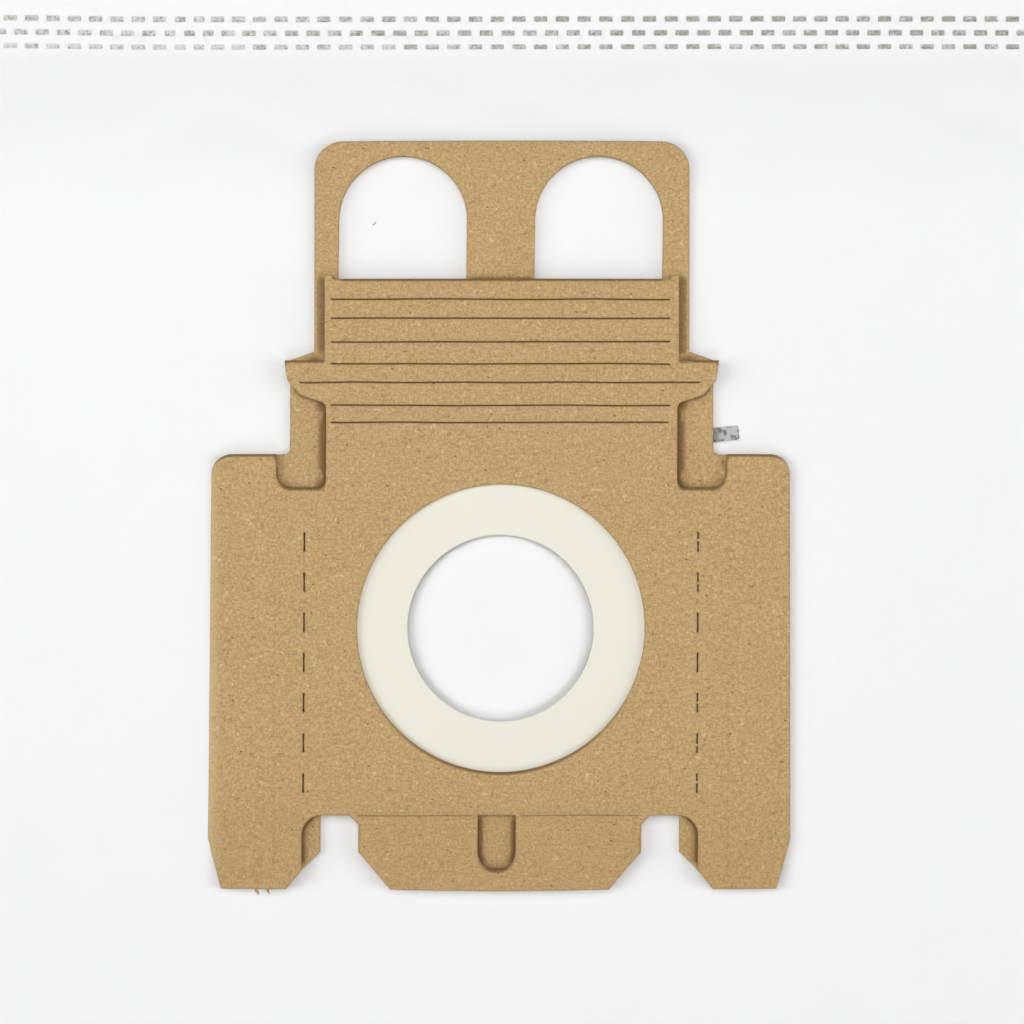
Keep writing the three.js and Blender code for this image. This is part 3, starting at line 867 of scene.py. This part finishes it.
# Painted shade on the back plate, as (offset to the left, drop, darkness), where the front plate's edges
# stand over it: beside its upper section, under its shoulders, along its recess walls and round its notches.
# Some strips also sink the board a little.
strip_shade = ((-0.7, 0, 0.72), (-0.3, -0.08, 0.66), (0.1, -0.08, 0.55), (0.45, -0.04, 0.36), (0.8, 0, 0.2))
shoulder_shade = ((-0.25, 0, 0.7), (0.1, 0, 0.5), (0.5, 0, 0.12))
wall_shade = ((0.6, 0, 0.74), (1.0, 0, 0.5), (1.6, 0, 0))
notch_shade = ((0.1, -0.05, 0.85), (0.4, -0.05, 0.7), (0.75, -0.02, 0.3), (1.3, 0, 0))
recess_edge = open_path([
    (40.9, 47.0), (39.2, 45.4, 3), (34.3, 43.9, 1.4), (34.3, 27.4, 1.4), (44.0, 27.4, 2.9), (44.0, 32.8),
], 1.5)
notch_edge = open_path([(33.0, flap_line), (38.7, flap_line, 3.9), (38.7, -46.6)], 1.2)
notch_edge = notch_edge[notch_edge[:, 0] > 36.2]
slot_left, slot_right, slot_bottom, slot_round = -4.3, 3.1, -46.9, 3.2
slot_edge = open_path([
    (slot_left, flap_line - 0.2), (slot_left, slot_bottom, slot_round),
    (slot_right, slot_bottom, slot_round), (slot_right, flap_line - 0.2),
], 1.2)
# Painted shade in the locating slot, darkest along its side walls.
slot_wall = np.clip((np.abs(slot_edge[:, 0] + 0.6) - 2.2) / 1.2, 0, 1)
slot_shade = (
    (0.06, -0.05, 0.6 + 0.3 * slot_wall), (0.35, -0.05, 0.05 + 0.8 * slot_wall),
    (0.8, -0.03, 0.6 * slot_wall), (1.2, 0, 0),
)


def recess_shade(path):
    """Painted shade along the front plate's recess edge: darkest along the wall beside the middle of the
    collar, faint round the other sides.
    """
    wall = np.clip((36.6 - np.abs(path[:, 0])) / 1.4, 0, 1)
    return (
        (0.06, -0.06, 0.55 + 0.35 * wall),
        (0.28, -0.05, 0.28 + 0.57 * wall),
        (0.58, -0.02, 0.04 + 0.74 * wall),
    )


def handle_fold_line(middle, half):
    """One piece of the handle's fold, beside or between the finger holes: a crease, darkened with painted
    shade.
    """
    return marked_line((middle - half, handle_fold_level), (middle + half, handle_fold_level), fold_crease_and_shade)


# The back plate's lines: the handle's fold, and strips of painted shade beside the front plate's edges,
# recesses, notches and slot.
back_lines = [handle_fold_line(0, 6.0), marked_path(slot_edge, slot_shade)]
for side in (-1, 1):
    back_lines.append(handle_fold_line(33.4 * side, 0.7))
    ends = [(35.4 * side, 68.3), (35.4 * side, 54.0)]
    back_lines.append(marked_line(*ends[::side], strip_shade))
    shoulder = [(34.7 * side, 52.8), (38.7 * side, 52.75)]
    back_lines.append(marked_line(*shoulder[::side], shoulder_shade, fading=1.6))
    edge = (recess_edge * (side, 1))[::side]
    back_lines.append(marked_path(edge, recess_shade(edge)))
    wall_ends = [(34.6 * side, 41.8), (34.6 * side, 29.4)]
    back_lines.append(marked_line(*wall_ends[::side], wall_shade, fading=1.6))
    back_lines.append(marked_path((notch_edge * (side, 1))[::-side], notch_shade))
back_board = add_piece("back_board", board_mesh(
    "back_board", rounded(mirrored(back_right_half)), [circle(back_hole), *finger_holes],
    plate_bottom, plate_middle, back_lines,
), kraft.material)
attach(back_board, "root")
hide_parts("back_plate")

# Seal ring. A flat washer of cream rubber, smooth and satin, with a softly rounded lip round the
# spigot hole. Its rim is trapped in a seat under the front plate.
rubber = Finish("cream_rubber", 0.48)
rubber.colour(rubber.mix(rubber.noise(0.08, 2), (0.835, 0.807, 0.69), (0.855, 0.83, 0.715)))
rubber.bump(rubber.noise(1.2, 2), 0.000006)
seal_low, seal_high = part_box("seal_ring")
seal_steps = 192
seal_hole, seal_rim = 18.2, seal_high.x / MM
seal_bottom, seal_top = seal_low.z / MM, seal_high.z / MM
lip = 0.3
seal_profile = [(seal_hole, seal_bottom), (seal_rim, seal_bottom), (seal_rim, seal_top)]
seal_profile += [(radius, seal_top) for radius in (28.2, 27.0, 24.0, 21.0, 19.5)]
for step in range(6):
    angle = math.pi / 2 * (1 - step / 5)
    seal_profile.append((seal_hole + lip * (1 - math.cos(angle)), seal_top - lip * (1 - math.sin(angle))))
seal_points = []
for step in range(seal_steps):
    angle = 2 * math.pi * step / seal_steps
    c, s = math.cos(angle) * MM, math.sin(angle) * MM
    seal_points += [(radius * c, radius * s, level * MM) for radius, level in seal_profile]
around = len(seal_profile)
seal_faces = []
for step in range(seal_steps):
    here, there = step * around, (step + 1) % seal_steps * around
    for i in range(around):
        after = (i + 1) % around
        seal_faces.append((here + i, there + i, there + after, here + after))
seal_mesh = bpy.data.meshes.new("rubber_seal")
seal_mesh.from_pydata(seal_points, [], [face[::-1] for face in seal_faces])
seal_mesh.shade_smooth()
seal_mesh.set_sharp_from_angle(angle=math.radians(50))
rubber_seal = add_piece("rubber_seal", seal_mesh, rubber.material)
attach(rubber_seal, "root")
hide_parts("seal_ring")

# Front plate. The upper layer of the collar is die-cut kraft board, 1.5 mm thick, glued over the
# back plate and the seal's rim. It is scored, creased and perforated so that it folds and tears.
front_right_half = [
    (33.0, 68.2), (33.0, 68.9), (34.6, 68.9), (34.6, 52.3, 0.4), (42.4, 52.3),
    (41.9, 48.4, 2), (39.2, 45.4, 3), (34.3, 43.9, 1.4), (34.3, 27.4, 1.4), (44.0, 27.4, 2.9), (44.0, 34.0),
    (56.3, 34.0, 3.9), (56.8, -41.2), (54.1, collar_foot), (41.7, collar_foot),
    (38.7, -47.3), (38.7, flap_line, 3.9), (29.3, flap_line, 0.5), (27.4, -38.4, 0.5),
    (27.4, -43.8), (21.3, collar_foot),
]
locating_slot = rounded([
    (slot_right, flap_line), (slot_left, flap_line),
    (slot_left, slot_bottom, slot_round), (slot_right, slot_bottom, slot_round),
], along=1.5)


def slit(x, high, low):
    """A perforation: a short cut through the board, a little wider at its ends."""
    shape = ((0, 0.12), (0.07, 0.17), (0.18, 0.12), (0.5, 0.09), (0.82, 0.12), (0.93, 0.17), (1, 0.12))
    right = [(x + half, high + (low - high) * t) for t, half in shape]
    return np.array(right + [(2 * x - px, py) for px, py in reversed(right)])


score_profile = (
    (-0.7, 0.0, 0), (-0.28, 0.04, 0), (-0.12, -0.1, 0.55), (0, -0.34, 1),
    (0.09, -0.14, 0.55), (0.22, 0.06, 0), (0.6, 0.0, 0),
)
crease_profile = ((-0.2, 0.0, 0), (0, -0.14, 0.6), (0.2, 0.0, 0))
fold_profile = ((-0.8, 0.0, 0), (-0.25, -0.09, 0.06), (0.25, 0.09, 0), (0.9, 0.0, 0))
front_lines = []
for number, (level, left, right) in enumerate((
    (64.2, -33.5, 33.0), (60.5, -33.5, 33.0), (55.9, -33.5, 33.0), (51.6, -33.5, 33.0),
    (48.0, -39.6, 38.9), (43.5, -33.5, 33.0), (40.2, -33.5, 32.7),
)):
    front_lines.append(marked_line((left, level), (right, level), score_profile, 0.04, 60 + number))
for seed, left, right in ((71, -28.2, -4.85), (72, 3.65, 28.2)):
    crease = marked_line((left, flap_line), (right, flap_line), crease_profile, 0.05, seed, 0.5)
    front_lines.append(crease)
for seed, fold_x in ((73, -43.9), (74, 44.7)):
    front_lines.append(marked_line((fold_x, 25.0), (fold_x, -50.1), fold_profile, 0.08, seed))
slit_x, slit_top, slit_pitch, slit_length = 38.4, 18.7, 7.84, 3.67
half_bridge = 0.3
bridges = {0: 0.4, 1: 0.55, 4: 0.5, 5: 0.62, 6: 0.45}
slits = []
for side in (-1, 1):
    for number in range(7):
        high = slit_top - slit_pitch * number
        low = high - slit_length
        if side == 1 and number in bridges:
            bridge = high - slit_length * bridges[number]
            slits += [slit(slit_x, high, bridge + half_bridge), slit(slit_x, bridge - half_bridge, low)]
        else:
            slits.append(slit(side * slit_x, high, low))
seal_window, seal_seat = 28.1, 31.4
glue_gap = 0.02
for radius in (seal_seat - 0.02, seal_seat + 0.02):
    ring = circle(radius)
    front_lines.append([(ring, 0, 0)])


def under_front(spot):
    """The underside is sunk over the seal's rim by the seal's own thickness."""
    return np.where(np.hypot(spot[:, 0], spot[:, 1]) < seal_seat, seal_top - seal_bottom + 0.01, 0.0)


# The front plate's edges that face +Y get painted shade.
front_board = add_piece("front_board", board_mesh(
    "front_board", rounded(mirrored(front_right_half)), [circle(seal_window), locating_slot],
    plate_middle + glue_gap, plate_top, front_lines, slits, under_front, 1.0,
), kraft.material)
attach(front_board, "root")
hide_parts("front_plate")

# Torn fibres. The die left two small tufts of board at the foot of the left wing.
for name, root_x, lean, length, thickness in (
    ("torn_tuft_1", -47.9, 0.75, 1.25, 0.34), ("torn_tuft_2", -45.6, 0.5, 1.15, 0.28),
):
    root_z = plate_top - 0.75 + float(collar_sag(np.array(root_x * MM), np.array(-50 * MM))) / MM
    tuft = thin_thread(name, [
        (root_x, -50.6, root_z),
        (root_x + lean * 0.3, -50.9 - length * 0.35, root_z - 0.03),
        (root_x + lean * 0.65, -50.9 - length * 0.7, root_z - 0.12),
        (root_x + lean, -50.9 - length, root_z - 0.25),
    ], (thickness, thickness * 0.8, thickness * 0.45, 0.03), kraft.material)
    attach(tuft, "root")
